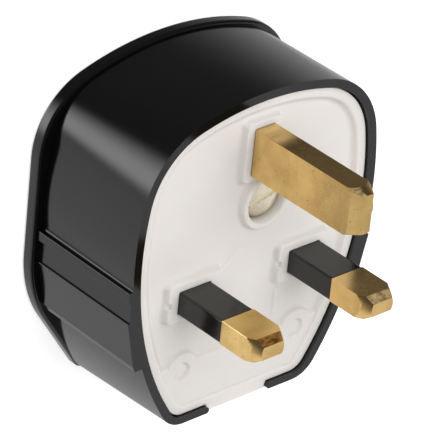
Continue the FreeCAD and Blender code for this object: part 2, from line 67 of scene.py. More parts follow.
def extent(node):
    """A node's lowest and highest corner, middle and size, in millimetres."""
    low, high = ([round(c / MM, 3) for c in corner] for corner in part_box(node))
    middle = [round((a + b) / 2, 3) for a, b in zip(low, high)]
    size = [round(b - a, 3) for a, b in zip(low, high)]
    return Extent(low, high, middle, size)


cover_box = extent("cover")
earth_box = extent("earth_pin")
neutral_box = extent("neutral_pin")
sleeve_box = extent("neutral_sleeve")

# Sizes are in millimetres: x runs towards the neutral pin, y towards the earth pin, z along the pins.
# How far a cutter runs past what it cuts, how far joined solids overlap, and the least step between rings
CLEAR = 1.0
BITE = 0.5
STEP = 0.05

# Base outline: a chain of tangent arcs
HALF_WIDTH = 22.5
WIDEST_Y = 9.8
SIDE_R = 53.0
TOP_Y = 30.7
TOP_R = 46.5
UPPER_R = 12.6
LOWER_R = 3.2
BOTTOM_Y = -20.9
# Below, the outline grows outwards by this share of what it grows elsewhere
BOTTOM_GROWTH = 0.75

# Rear end of the cover's wall: lower than the lip, with squarer upper corners
REAR_BOTTOM_Y = -23.3
REAR_SIDE_R = 57.0
REAR_UPPER_R = 9.5
REAR_SPREAD = 0.25
REAR_STRAIGHT = 0.35

# Levels along the pins
LIP_Z = cover_box.high[2]
BORDER_Z = -0.3
LAND_Z = -0.6
PANEL_Z = -1.2
SEAT_Z = -3.5
FLANGE_Z = -21.5
BACK_Z = cover_box.low[2]
CAVITY_Z = -21.8

# Cover wall: growth of the base outline, and the rounding of the lip
LIP_GAP = 0.25
LIP_OUT = 1.7
LIP_ROUND = 0.3
REAR_OUT = 1.0
SEAT_WIDTH = 1.2

# Flange outline
FLANGE_HALF = cover_box.high[0]
FLANGE_TOP_Y = 32.35
FLANGE_TOP_R = 50.0
FLANGE_UPPER_R = 13.0
FLANGE_SHOULDER_Y = -6.2
FLANGE_SHOULDER_R = 22.0
FLANGE_BOTTOM_Y = cover_box.low[1]
FLANGE_BOTTOM_HALF = 13.9
FLANGE_BOTTOM_R = 41.0
FLANGE_CORNER_R = 2.0
FLANGE_ROUND = 0.55
# The bottom arc stops this share of the corner's radius before the corner
FLANGE_CORNER_SHARE = 0.8

# Side grips: a rib, a panel and a ledge, with a chamfered hem
GRIP_TOP_Y = 5.4
GRIP_RIB_X = 24.75
GRIP_STEP_Y = 3.8
GRIP_PANEL_X = 24.2
GRIP_LEDGE_Y = 0.0
GRIP_LEDGE_X = 24.55
GRIP_LEDGE_R = 0.16
GRIP_LOW_X = 22.75
GRIP_LOW_Y = -9.1
GRIP_HEM = 0.95
GRIP_TOE_X = 22.3
GRIP_EDGE = 0.2
GRIP_ROOT_R = 0.5
# The grips follow this share of the wall's taper
GRIP_TAPER = 0.45

# Cord slot in the cover, and the base's tongue that fills its mouth
SLOT_HALF = 6.0
SLOT_TURN_Z = -7.5
SLOT_END_R = 0.5
SLOT_SECTIONS = 16
TONGUE_GAP = 0.08
TONGUE_SPREAD = math.radians(50)

# Border of the base, and the wall of the recess inside it: (growth, level)
BORDER_WIDTH = 1.6
BORDER_ROUND = 0.18
RECESS_WALL = [
    (-1.1, PANEL_Z), (-0.8, PANEL_Z + 0.05), (-0.55, PANEL_Z + 0.17), (-0.3, PANEL_Z + 0.4),
    (-0.1, BORDER_Z - 0.2), (0.1, BORDER_Z - 0.06), (0.35, BORDER_Z), (0.35, BORDER_Z + 1)]

# How a raised pad meets the panel and rounds over at its top: (growth, share of its height)
PAD_PROFILE = [
    (0.75, 0.0), (0.5, 0.04), (0.3, 0.14), (0.16, 0.32), (0.06, 0.56), (-0.02, 0.78), (-0.14, 0.94),
    (-0.36, 1.0)]
PAD_SINK = 0.4
PAD_CORNER_R = 0.8
EARTH_PAD_HALF = (3.4, 5.2)
COLLAR_HALF = (5.15, 3.4)

# Land along the lower edge of the panel, with a softer foot than the pads have
LAND_LOW_Y = BOTTOM_Y + 1.0
LAND_LOW_X = 12.2
LAND_HIGH_X = 16.9
LAND_RISE = 1.5
LAND_SOFT = 1.6

# Notches in the collars' ends: (half length, half width, level)
NOTCH_OUT = 5.5
NOTCH_CORNER_R = 0.2
NOTCH_PROFILE = [(0.9, 0.45, PANEL_Z + 0.55), (1.0, 0.55, PANEL_Z + 0.75), (1.0, 0.6, 1.0)]

# Ribs on the panel: (start, length, direction in degrees), and their section: (half width, height)
RIBS = [((7.015, -9.4), 4.4, 90.0), ((-5.465, 1.7), 4.8, 39.0)]
RIB_PROFILE = [(0.62, -0.4), (0.62, 0.0), (0.45, 0.04), (0.33, 0.16), (0.22, 0.29), (0.08, 0.36)]
RIB_CORNER_SHARE = 0.7

# Rings over the cord grip's pillars, and the dish in each: (growth, height over the land)
RING_X = 11.6
RING_Y = -13.3
RING_R = 3.2
RING_LIFT = 0.02
RING_HOLE_R = 1.5
RING_DISH = [
    (-0.45, -0.5), (-0.3, -0.47), (-0.12, -0.36), (0.0, -0.16), (0.1, -0.05), (0.3, 0.03), (0.3, 1.0)]

# Back of the base
PILLAR_LOW = -8.7
GRIP_PILLAR_LOW = -9.0
FUSE_SEAT_Y = 20.45
FUSE_SEAT_HALF = (3.3, 5.65)
FUSE_SEAT_CORNER_R = 0.4
CLIP_Z = -5.5

# Pins
PIN_X = neutral_box.middle[0]
EARTH_Y = earth_box.middle[1]
BLADE_WIDTH = sleeve_box.size[0]
BLADE_THICK = sleeve_box.size[1]
BLADE_TOP = neutral_box.high[2]
BLADE_LOW = SEAT_Z - 0.2
EARTH_DEPTH = 7.95
EARTH_TOP = earth_box.high[2]
PIN_FIT = 0.05
PIN_HOLE_CORNER_R = 0.3

# Blade tips: where the bevel starts, what it takes off, and the turned end's radius, slope and curve
Tip = namedtuple("Tip", "start taken reach slope curve")
BLADE_TIP = Tip(start=1.35, taken=0.9, reach=2.2, slope=0.725, curve=0.05)
EARTH_TIP = Tip(start=1.8, taken=1.0, reach=3.3, slope=0.45, curve=0.0)
BEVEL_SHARES = (0.8, 0.6, 0.4, 0.2, 0.0)
BLADE_FLAT = 0.03
BLADE_EDGE = 0.02

# Sleeves, the neck under them, and their rounded end: (drop from the end, inset)
SLEEVE_TOP = sleeve_box.high[2]
SLEEVE_FOOT = sleeve_box.low[2]
SLEEVE_WALL = 0.6
SLEEVE_CORNER_R = 0.42
SLEEVE_CORE_CORNER_R = 0.3
SLEEVE_END = [(0.12, 0.0), (0.03, 0.05), (0.0, 0.14)]
NECK_CORNER = 1.4 * SLEEVE_WALL
SHOULDER = 0.08
SHOULDER_CORNER = 0.11

# Terminal blocks on the earth and neutral pins
BLOCK_LOW = earth_box.low[2]
BLOCK_EDGE = 0.2
BLOCK_CORNER_R = 0.4
BLOCK_EDGE_CORNER_R = 0.3
BLOCK_SCREW_R = 1.95
BLOCK_WIRE_R = 1.7
BLOCK_WIRE_Z = SEAT_Z - 2.6

# Head of the line pin, riveted to the fuse clip
LINE_HEAD_HALF = (4.0, 3.97)
LINE_HEAD_CORNER_R = 0.3
RIVET_R = 1.4
RIVET_LOW = CLIP_Z - 0.6
RIVET_HIGH = CLIP_Z + 0.3

# Cover screw: its crown as (drop from the top, inset), its slot as (half width, height over the top)
SCREW_X = 2.2
SCREW_Y = 12.6
SCREW_TURN = math.radians(13.7)
SCREW_R = 2.0
SCREW_END = -20.8
SCREW_POINT = 0.5
SCREW_HEAD_R = 3.4
SCREW_HEAD_Z = -1.2
SCREW_HEAD_LOW = -3.6
SCREW_CROWN = [(0.6, 0.0), (0.4, 0.06), (0.24, 0.22), (0.13, 0.5), (0.06, 0.95), (0.0, 1.9)]
SCREW_SLOT_LONG = 5.0
SCREW_SLOT_CORNER_R = 0.05
SCREW_SLOT = [(0.42, -0.45), (0.42, -0.1), (0.52, 0.0), (0.52, 1.0)]

# Boss and hole for the screw; the hole flares towards the face: (growth, level)
SCREW_BOSS_R = 4.8
SCREW_BOSS_Z = 0.01
SCREW_SHANK_GAP = 0.2
SCREW_HOLE_R = 3.7
SCREW_HOLE_FLARE = [
    (-0.2, SCREW_HEAD_LOW + STEP), (-0.2, -1.4), (-0.12, -0.9), (0.0, -0.45), (0.12, -0.18), (0.26, -0.04),
    (0.45, 0.02), (0.45, 1.0)]

# Painted shade on the screw head's lower rim: its fade round a point just above the axis, and how far
# clouds move it
SCREW_SHADE_RISE = 0.9
SCREW_SHADE_FROM = 2.9
SCREW_SHADE_TO = 4.9
SCREW_SHADE_DRIFT = 0.7

# Steps of circles
CIRCLE_STEPS = 36
RING_HOLE_STEPS = 30
BORE_STEPS = 24

# Tolerances: steps and turns that count as nothing, a level, a sharp edge's cosine, and welds in metres
NOTHING = 1e-9
LEVEL_FIT = 1e-3
SHARP = 0.7
MIRROR_WELD = 1e-6
CLOSE_WELD = 1e-7

# Faces of the tips that stay as sawn, by their normals: range of z, least y, and x and y on the earth pin
SAWN_RISE = (0.2, 0.9)
SAWN_ACROSS = 0.75
EARTH_SAWN_X = -0.1
EARTH_SAWN_Y = 0.45

# Studio light: fades as (from, to), by degrees from the dark end or by a direction's share along z or y
DARK_SIDE = math.radians(82)
LEFT_FADE = (42, 60)
LEFT_TOP = (0.15, 0.5)
RIGHT_FADE = (37, 98)
PANEL_IN = (48, 78)
PANEL_OUT = (84, 104)
PANEL_TOP = (-0.3, -0.1)
SHADE_RISE = (-0.1, 0.15)
SHADE_AHEAD = (-0.1, 0.3)
OVERHEAD = (0.66, 0.9)
AMBIENT = 0.085
LEFT_LIGHT = 0.74
RIGHT_LIGHT = 0.62
PANEL_LIGHT = 2.8

# Key lamp and floor, in metres and watts
LAMP_PLACE = (-0.06, 0.34, 0.74)
LAMP_SIZE = 1.1
LAMP_POWER = 9.0
FLOOR_SIZE = 4.0
FLOOR_GLOW = 0.6

# Camera: place in metres, directions, and focal length in pixels of the frame
CAMERA_PLACE = Vector((-0.40067, 0.33851, 0.40296))
CAMERA_AHEAD = Vector((0.60277, -0.50173, -0.62043))
CAMERA_UP = Vector((0.27571, 0.86064, -0.42812))
CAMERA_CLIP = (0.01, 20.0)
FOCAL_PIXELS = 4363.0
FRAME_HEIGHT = 444.0
SENSOR = 36.0


class Pen:
    """Draws a line in edit mode: straight runs by extruding a vertex, arcs by spinning it."""

    def __init__(self, x, y, z):
        bpy.ops.mesh.select_all(action="DESELECT")
        bpy.ops.mesh.primitive_plane_add(size=MM, location=(x * MM, y * MM, z * MM))
        bpy.ops.mesh.merge(type="CENTER")
        self.x = x
        self.y = y
        self.z = z

    def line(self, x, y):
        step = ((x - self.x) * MM, (y - self.y) * MM, 0)
        if abs(step[0]) + abs(step[1]) > NOTHING:
            bpy.ops.mesh.extrude_vertices_move(TRANSFORM_OT_translate={"value": step})
        self.x = x
        self.y = y

    def arc(self, centre, end, steps):
        """Turns about a centre to an angle in radians, the shorter way round."""
        start = math.atan2(self.y - centre[1], self.x - centre[0])
        turn = (end - start + math.pi) % (2 * math.pi) - math.pi
        if abs(turn) < NOTHING:
            return
        pivot = (centre[0] * MM, centre[1] * MM, self.z * MM)
        bpy.ops.mesh.spin(steps=steps, angle=-turn, center=pivot, axis=(0, 0, 1))
        radius = math.hypot(self.x - centre[0], self.y - centre[1])
        self.x = centre[0] + radius * math.cos(end)
        self.y = centre[1] + radius * math.sin(end)

    def corner(self, at, after, radius, steps):
        """Runs to a corner and round it with a tangent arc."""
        a = Vector((self.x - at[0], self.y - at[1])).normalized()
        b = Vector((after[0] - at[0], after[1] - at[1])).normalized()
        half = a.angle(b) / 2
        run = radius / math.tan(half)
        middle = (a + b).normalized() * (radius / math.sin(half))
        centre = (at[0] + middle.x, at[1] + middle.y)
        self.line(at[0] + a.x * run, at[1] + a.y * run)
        end = Vector((at[0] + b.x * run - centre[0], at[1] + b.y * run - centre[1]))
        self.arc(centre, math.atan2(end.y, end.x), steps)

    def mirror(self):
        """Closes a right half, drawn from its bottom middle to its top middle."""
        bpy.ops.mesh.select_linked()
        bpy.ops.mesh.symmetrize(direction="POSITIVE_X", threshold=MIRROR_WELD)

    def close(self):
        """Joins the last vertex to the first."""
        bpy.ops.mesh.select_linked()
        bpy.ops.mesh.remove_doubles(threshold=CLOSE_WELD)


def angle_from(centre, point):
    return math.atan2(point[1] - centre[1], point[0] - centre[0])


def outline_marks(half, side_r, upper_r):
    """Centres of the base outline's arcs; each is tangent to the next."""
    side = (half - side_r, WIDEST_Y)
    top = (0.0, TOP_Y - TOP_R)
    span = math.hypot(side[0] - top[0], side[1] - top[1])
    along = ((side_r - upper_r) ** 2 - (TOP_R - upper_r) ** 2 + span ** 2) / (2 * span)
    across = math.sqrt((side_r - upper_r) ** 2 - along ** 2)
    ux = (top[0] - side[0]) / span
    uy = (top[1] - side[1]) / span
    upper = (side[0] + along * ux - across * uy, side[1] + along * uy + across * ux)
    return side, top, upper


def lip_bottom(grow):
    """Lower edge of the outline grown outwards: its wall is thinner than the flanks'."""
    return BOTTOM_Y - BOTTOM_GROWTH * grow


def draw_shield(grow, z, grips=False, rear=False):
    """Draws the base outline grown outwards, with or without the side grips; the rear end is squarer."""
    half = HALF_WIDTH + REAR_SPREAD if rear else HALF_WIDTH
    side_r = REAR_SIDE_R if rear else SIDE_R
    upper_r = REAR_UPPER_R if rear else UPPER_R
    bottom = REAR_BOTTOM_Y + REAR_OUT - grow if rear else lip_bottom(grow)
    side, top, upper = outline_marks(half, side_r, upper_r)
    low_y = bottom + LOWER_R + grow
    low = (side[0] + math.sqrt((side_r - LOWER_R) ** 2 - (low_y - side[1]) ** 2), low_y)
    pen = Pen(0.0, bottom, z)
    pen.line(low[0], bottom)
    pen.arc(low, angle_from(side, low), steps=10)
    if grips:
        draw_grip(pen, side, side_r + grow, GRIP_TAPER * (grow - LIP_OUT))
    pen.arc(side, angle_from(side, upper), steps=16 if grips else 32)
    pen.arc(upper, angle_from(top, upper), steps=18)
    pen.arc(top, math.pi / 2, steps=16)
    pen.mirror()


def draw_grip(pen, side, wall, shift):
    """Draws the grip on a flank of radius wall about the centre side, moved out by a shift."""
    rib_x = GRIP_RIB_X + shift
    panel_x = GRIP_PANEL_X + shift
    ledge = (GRIP_LEDGE_X + shift, GRIP_LEDGE_Y)
    hem = (GRIP_LOW_X + shift, GRIP_LOW_Y + GRIP_HEM)
    toe = (GRIP_TOE_X + shift, GRIP_LOW_Y)
    drop = GRIP_LOW_Y - GRIP_ROOT_R
    rise = GRIP_TOP_Y + GRIP_ROOT_R
    reach = wall + GRIP_ROOT_R
    foot = (side[0] + math.sqrt(reach ** 2 - (drop - side[1]) ** 2), drop)
    head = (side[0] + math.sqrt(reach ** 2 - (rise - side[1]) ** 2), rise)
    pen.arc(side, angle_from(side, foot), steps=12)
    pen.arc(foot, math.pi / 2, steps=6)
    pen.corner(toe, hem, GRIP_EDGE, steps=4)
    pen.corner(hem, ledge, GRIP_EDGE, steps=4)
    pen.corner(ledge, (panel_x, GRIP_LEDGE_Y), GRIP_LEDGE_R, steps=4)
    pen.line(panel_x, GRIP_LEDGE_Y)
    pen.line(panel_x, GRIP_STEP_Y - rib_x + panel_x)
    pen.corner((rib_x, GRIP_STEP_Y), (rib_x, GRIP_TOP_Y), GRIP_EDGE, steps=3)
    pen.corner((rib_x, GRIP_TOP_Y), (head[0], GRIP_TOP_Y), GRIP_EDGE, steps=4)
    pen.line(head[0], GRIP_TOP_Y)
    pen.arc(head, angle_from(head, side), steps=6)


def draw_flange(z):
    """Draws the flange outline: its flanks slant in below a shoulder, to a shallow curve."""
    top = (0.0, FLANGE_TOP_Y - FLANGE_TOP_R)
    upper_x = FLANGE_HALF - FLANGE_UPPER_R
    upper_y = top[1] + math.sqrt((FLANGE_TOP_R - FLANGE_UPPER_R) ** 2 - upper_x ** 2)
    upper = (upper_x, upper_y)
    knee = (FLANGE_HALF, FLANGE_SHOULDER_Y)
    hub = (0.0, FLANGE_BOTTOM_Y + FLANGE_BOTTOM_R)
    foot = (FLANGE_BOTTOM_HALF, hub[1] - math.sqrt(FLANGE_BOTTOM_R ** 2 - FLANGE_BOTTOM_HALF ** 2))
    run = FLANGE_BOTTOM_HALF - FLANGE_CORNER_R * FLANGE_CORNER_SHARE
    pen = Pen(0.0, FLANGE_BOTTOM_Y, z)
    pen.arc(hub, -math.acos(run / FLANGE_BOTTOM_R), steps=14)
    pen.corner(foot, knee, FLANGE_CORNER_R, steps=8)
    pen.corner(knee, (FLANGE_HALF, upper_y), FLANGE_SHOULDER_R, steps=14)
    pen.line(FLANGE_HALF, upper_y)
    pen.arc(upper, angle_from(top, upper), steps=18)
    pen.arc(top, math.pi / 2, steps=16)
    pen.mirror()


def draw_slot(half, z):
    """Draws the cord slot's section through the cover's lower wall, whose cut ends are rounded."""
    inner = lip_bottom(LIP_GAP)
    depth = max(0.0, LIP_Z - z) / (LIP_Z - FLANGE_Z)
    outer = lip_bottom(LIP_OUT) + depth * (REAR_BOTTOM_Y - lip_bottom(LIP_OUT))
    side = half + SLOT_END_R
    pen = Pen(0.0, FLANGE_BOTTOM_Y - CLEAR, z)
    pen.line(side, FLANGE_BOTTOM_Y - CLEAR)
    pen.line(side, outer)
    pen.arc((side, outer + SLOT_END_R), math.pi, steps=6)
    pen.line(half, inner - SLOT_END_R)
    pen.arc((side, inner - SLOT_END_R), math.pi / 2, steps=6)
    pen.line(side, BOTTOM_Y + LOWER_R)
    pen.line(0.0, BOTTOM_Y + LOWER_R)
    pen.mirror()


def draw_tongue(z):
    """Draws the base's tongue, which follows the rounded ends of the cord slot."""
    low = lip_bottom(LIP_OUT)
    end_x = SLOT_HALF + SLOT_END_R
    outer = (end_x, low + SLOT_END_R)
    inner = (end_x, lip_bottom(LIP_GAP) - SLOT_END_R)
    reach = SLOT_END_R + TONGUE_GAP
    foot_x = end_x - reach * math.cos(TONGUE_SPREAD)
    pen = Pen(0.0, low, z)
    pen.line(foot_x, low)
    pen.line(foot_x, outer[1] - reach * math.sin(TONGUE_SPREAD))
    pen.arc(outer, math.pi, steps=6)
    pen.line(end_x - reach, inner[1])
    pen.arc(inner, math.pi - TONGUE_SPREAD, steps=6)
    pen.line(foot_x, BOTTOM_Y + LOWER_R)
    pen.line(0.0, BOTTOM_Y + LOWER_R)
    pen.mirror()


def draw_land(grow, z):
    """Draws the land along the lower edge of the panel."""
    high_y = RING_Y + LAND_RISE + grow
    pen = Pen(0.0, LAND_LOW_Y, z)
    pen.line(LAND_LOW_X, LAND_LOW_Y)
    pen.line(LAND_HIGH_X, high_y)
    pen.line(0.0, high_y)
    pen.mirror()


def draw_rectangle(half_x, half_y, radius, z, x, y):
    """Draws a rectangle with round corners, centred on a point."""
    pen = Pen(x - half_x + radius, y - half_y, z)
    pen.line(x + half_x - radius, y - half_y)
    pen.arc((x + half_x - radius, y - half_y + radius), 0.0, steps=5)
    pen.line(x + half_x, y + half_y - radius)
    pen.arc((x + half_x - radius, y + half_y - radius), math.pi / 2, steps=5)
    pen.line(x - half_x + radius, y + half_y)
    pen.arc((x - half_x + radius, y + half_y - radius), math.pi, steps=5)
    pen.line(x - half_x, y - half_y + radius)
    pen.arc((x - half_x + radius, y - half_y + radius), -math.pi / 2, steps=5)
    pen.close()


def draw_circle(radius, z, x, y, steps=CIRCLE_STEPS):
    """Draws a circle in three turns."""
    pen = Pen(x + radius, y, z)
    for third in (1, 2, 3):
        pen.arc((x, y), third * 2 * math.pi / 3, steps // 3)
    pen.close()


def draw_blade(wide, thin, reach, z, x, y, upright):
    """Draws a blade's section: a rectangle with its corners turned to a circle about its axis."""
    wide = min(wide, math.sqrt(reach ** 2 - BLADE_FLAT ** 2))
    flat = math.sqrt(reach ** 2 - wide ** 2)
    run = math.sqrt(reach ** 2 - thin ** 2)
    if upright:
        marks = [(flat, -wide), (thin, -run), (thin, run), (flat, wide)]
    else:
        marks = [(run, -thin), (wide, -flat), (wide, flat), (run, thin)]
    marks += [(-a, -b) for a, b in marks]
    pen = Pen(x + marks[0][0], y + marks[0][1], z)
    for i in range(0, len(marks), 2):
        turned = marks[i + 1]
        after = marks[(i + 2) % len(marks)]
        pen.arc((x, y), math.atan2(turned[1], turned[0]), steps=6)
        pen.line(x + after[0], y + after[1])
    pen.close()


def clear():
    """Back to object mode with nothing selected."""
    if bpy.context.object and bpy.context.object.mode != "OBJECT":
        bpy.ops.object.mode_set(mode="OBJECT")
    bpy.ops.object.select_all(action="DESELECT")


def activate(piece):
    clear()
    piece.select_set(True)
    bpy.context.view_layer.objects.active = piece


def begin(name):
    """Starts an empty mesh in edit mode."""
    clear()
    bpy.ops.mesh.primitive_plane_add(size=MM)
    piece = bpy.context.object
    piece.name = name
    piece.data.name = name
    bpy.ops.object.mode_set(mode="EDIT")
    bpy.ops.mesh.delete(type="VERT")
    return piece


def open_edges():
    bpy.ops.mesh.select_all(action="DESELECT")
    bpy.ops.mesh.select_mode(type="EDGE")
    bpy.ops.mesh.select_non_manifold(extend=False)


def stack(name, draw, rings):
    """Closed solid through a stack of outlines; draw takes the values of one ring."""
    piece = begin(name)
    for i, ring in enumerate(rings):
        bpy.ops.mesh.select_mode(type="VERT")
        draw(*ring)
        open_edges()
        if i == 0:
            bpy.ops.mesh.edge_face_add()
        else:
            bpy.ops.mesh.bridge_edge_loops()
    open_edges()
    bpy.ops.mesh.edge_face_add()
    bpy.ops.mesh.select_all(action="SELECT")
    bpy.ops.mesh.normals_make_consistent(inside=False)
    bpy.ops.object.mode_set(mode="OBJECT")
    return piece


def bar(name, half_x, half_y, radius, low, high, x, y):
    """Straight bar of rectangular section between two levels."""
    return stack(name, draw_rectangle, [(half_x, half_y, radius, z, x, y) for z in (low, high)])


def disc(name, radius, low, high, x, y, steps=CIRCLE_STEPS):
    """Straight round solid between two levels."""
    return stack(name, draw_circle, [(radius, z, x, y, steps) for z in (low, high)])


def place_piece(piece, x, y, turn):
    """Turns a piece about z and moves it, and applies both to its mesh."""
    activate(piece)
    piece.rotation_euler = (0, 0, turn)
    piece.location = (x * MM, y * MM, 0)
    bpy.ops.object.transform_apply(location=True, rotation=True, scale=False)


def combine(piece, other, operation):
    """Boolean with another piece, which is used up."""
    activate(piece)
    bpy.ops.object.modifier_add(type="BOOLEAN")
    modifier = piece.modifiers[-1]
    modifier.operation = operation
    modifier.solver = "EXACT"
    modifier.object = other
    bpy.ops.object.modifier_apply(modifier=modifier.name)
    bpy.data.objects.remove(other)


def join(piece, other):
    combine(piece, other, "UNION")


def cut(piece, other):
    combine(piece, other, "DIFFERENCE")


def is_level(a, b):
    return abs(a.z - b.z) < LEVEL_FIT


def on_level(z):
    return lambda a, b: abs(a.z - z) < LEVEL_FIT and abs(b.z - z) < LEVEL_FIT


def rim_edge(piece, z):
    """Test for the edges on a level between its flat top and a wall."""
    mesh = piece.data
    normals = {}
    for face in mesh.polygons:
        for key in face.edge_keys:
            normals.setdefault(key, []).append(face.normal.copy())
    rim = set()
    for key, pair in normals.items():
        ends = [mesh.vertices[i].co / MM for i in key]
        if on_level(z)(ends[0], ends[1]) and len(pair) == 2 and pair[0].dot(pair[1]) < SHARP:
            rim.add(edge_name(ends[0], ends[1]))
    return lambda a, b: edge_name(a, b) in rim


def edge_name(a, b):
    """The same for both directions of an edge."""
    return frozenset(tuple(round(c, 3) for c in end) for end in (a, b))


def bevel_edges(piece, wanted, width, segments):
    """Rounds the edges for which wanted(end, other end) holds."""
    activate(piece)
    bpy.ops.object.mode_set(mode="EDIT")
    bpy.ops.mesh.select_mode(type="EDGE")
    bpy.ops.mesh.select_all(action="DESELECT")
    bpy.ops.object.mode_set(mode="OBJECT")
    mesh = piece.data
    for edge in mesh.edges:
        ends = [mesh.vertices[i].co / MM for i in edge.vertices]
        edge.select = wanted(ends[0], ends[1])
    bpy.ops.object.mode_set(mode="EDIT")
    bpy.ops.mesh.bevel(
        offset=width * MM, segments=segments, affect="EDGES", profile=0.5, clamp_overlap=True)
    bpy.ops.object.mode_set(mode="OBJECT")


def smooth(piece, degrees):
    """Smooth shading up to an angle, with normals that keep flat faces flat."""
    activate(piece)
    bpy.ops.object.shade_smooth_by_angle(angle=math.radians(degrees))
    bpy.ops.object.modifier_add(type="WEIGHTED_NORMAL")
    modifier = piece.modifiers[-1]
    modifier.keep_sharp = True
    bpy.ops.object.modifier_apply(modifier=modifier.name)


def build_cover():
    # Rings of the wall: growth, level, with grips, with the rear end's outline
    cover = stack("cover_shell", draw_shield, [
        (LIP_OUT, LIP_Z, True),
        (REAR_OUT, FLANGE_Z + REAR_STRAIGHT, True, True),
        (REAR_OUT, FLANGE_Z - STEP, True, True)])
    bevel_edges(cover, on_level(LIP_Z), LIP_ROUND, segments=4)
    flange = stack("flange", draw_flange, [(BACK_Z,), (FLANGE_Z,)])
    bevel_edges(flange, is_level, FLANGE_ROUND, segments=5)
    join(cover, flange)
    cut(cover, stack("pocket", draw_shield, [(LIP_GAP, SEAT_Z), (LIP_GAP, LIP_Z + CLEAR)]))
    cut(cover, stack("cavity", draw_shield, [(-SEAT_WIDTH, CAVITY_Z), (-SEAT_WIDTH, SEAT_Z + BITE)]))
    sections = [(SLOT_HALF, LIP_Z + 2 * CLEAR), (SLOT_HALF, LIP_Z - LIP_ROUND)]
    for i in range(SLOT_SECTIONS):
        turn = i * math.pi / (2 * SLOT_SECTIONS - 1)
        sections.append((SLOT_HALF * math.cos(turn), SLOT_TURN_Z - SLOT_HALF * math.sin(turn)))
    cut(cover, stack("slot", draw_slot, sections))
    smooth(cover, degrees=32)
    return cover


def raised(name, draw, top, soft=1.0):
    """Moulded pad on the panel with a soft foot and a soft top edge; draw takes a growth and a level."""
    rings = [(PAD_PROFILE[0][0] * soft, PANEL_Z - PAD_SINK)]
    for grow, share in PAD_PROFILE:
        rings.append((grow * soft, PANEL_Z + share * (top - PANEL_Z)))
    return stack(name, draw, rings)


def raised_rectangle(name, half, x, y):
    """Moulded pad of rectangular outline whose top meets the socket."""
    def draw(grow, z):
        draw_rectangle(half[0] + grow, half[1] + grow, PAD_CORNER_R + grow, z, x, y)

    return raised(name, draw, 0.0)


def raised_circle(name, radius, x, y, top):
    return raised(name, lambda grow, z: draw_circle(radius + grow, z, x, y), top)


def build_collar(x):
    """Pad round a flat pin, with a notch in each end."""
    collar = raised_rectangle("collar", COLLAR_HALF, x, 0)
    for side in (-1, 1):
        middle = x + side * NOTCH_OUT
        cut(collar, stack("notch", draw_rectangle, [
            (half_x, half_y, NOTCH_CORNER_R, z, middle, 0) for half_x, half_y, z in NOTCH_PROFILE]))
    return collar


def build_rib(start, length, degrees):
    """Low moulded rib that runs from a point on the panel."""
    rib = stack("rib", draw_rectangle, [
        (length / 2 + half, half, half * RIB_CORNER_SHARE, PANEL_Z + rise, length / 2, 0)
        for half, rise in RIB_PROFILE])
    place_piece(rib, start[0], start[1], math.radians(degrees))
    return rib


def cut_pin_hole(base, half_x, half_y, x, y):
    cut(base, bar(
        "hole", half_x + PIN_FIT, half_y + PIN_FIT, PIN_HOLE_CORNER_R, SEAT_Z - CLEAR, CLEAR, x, y))


def build_base():
    base = stack("base_plate", draw_shield, [(0.0, SEAT_Z), (0.0, BORDER_Z)])
    join(base, stack("tongue", draw_tongue, [(SEAT_Z,), (BORDER_Z,)]))
    bevel_edges(base, rim_edge(base, BORDER_Z), BORDER_ROUND, segments=3)
    cut(base, stack("recess", draw_shield, [(grow - BORDER_WIDTH, z) for grow, z in RECESS_WALL]))
    join(base, raised("land", draw_land, LAND_Z, LAND_SOFT))
    for x in (-RING_X, RING_X):
        join(base, raised_circle("ring", RING_R, x, RING_Y, LAND_Z + RING_LIFT))
    pad = raised_rectangle("earth_pad", EARTH_PAD_HALF, 0, EARTH_Y)
    join(pad, raised_circle("screw_boss", SCREW_BOSS_R, SCREW_X, SCREW_Y, SCREW_BOSS_Z))
    join(base, pad)
    for x in (-PIN_X, PIN_X):
        join(base, build_collar(x))
    for start, length, degrees in RIBS:
        join(base, build_rib(start, length, degrees))
    join(base, disc("pillar", SCREW_BOSS_R, PILLAR_LOW, SEAT_Z + BITE, SCREW_X, SCREW_Y))
    for x in (-RING_X, RING_X):
        join(base, disc("pillar", RING_R, GRIP_PILLAR_LOW, SEAT_Z + BITE, x, RING_Y))
    join(base, bar(
        "fuse_seat", *FUSE_SEAT_HALF, FUSE_SEAT_CORNER_R, CLIP_Z, SEAT_Z + BITE, -PIN_X, FUSE_SEAT_Y))
    for side in (-1, 1):
        cut_pin_hole(base, BLADE_WIDTH / 2, BLADE_THICK / 2, side * PIN_X, 0)
        cut(base, stack("ring_hole", draw_circle, [
            (RING_HOLE_R + grow, LAND_Z + rise, side * RING_X, RING_Y, RING_HOLE_STEPS)
            for grow, rise in RING_DISH]))
    cut_pin_hole(base, BLADE_THICK / 2, EARTH_DEPTH / 2, 0, EARTH_Y)
    shank = SCREW_R + SCREW_SHANK_GAP
    rings = [(shank, PILLAR_LOW - CLEAR), (shank, SCREW_HEAD_LOW)]
    rings += [(SCREW_HOLE_R + grow, z) for grow, z in SCREW_HOLE_FLARE]
    cut(base, stack("screw_hole", draw_circle, [(radius, z, SCREW_X, SCREW_Y) for radius, z in rings]))
    smooth(base, degrees=32)
    return base


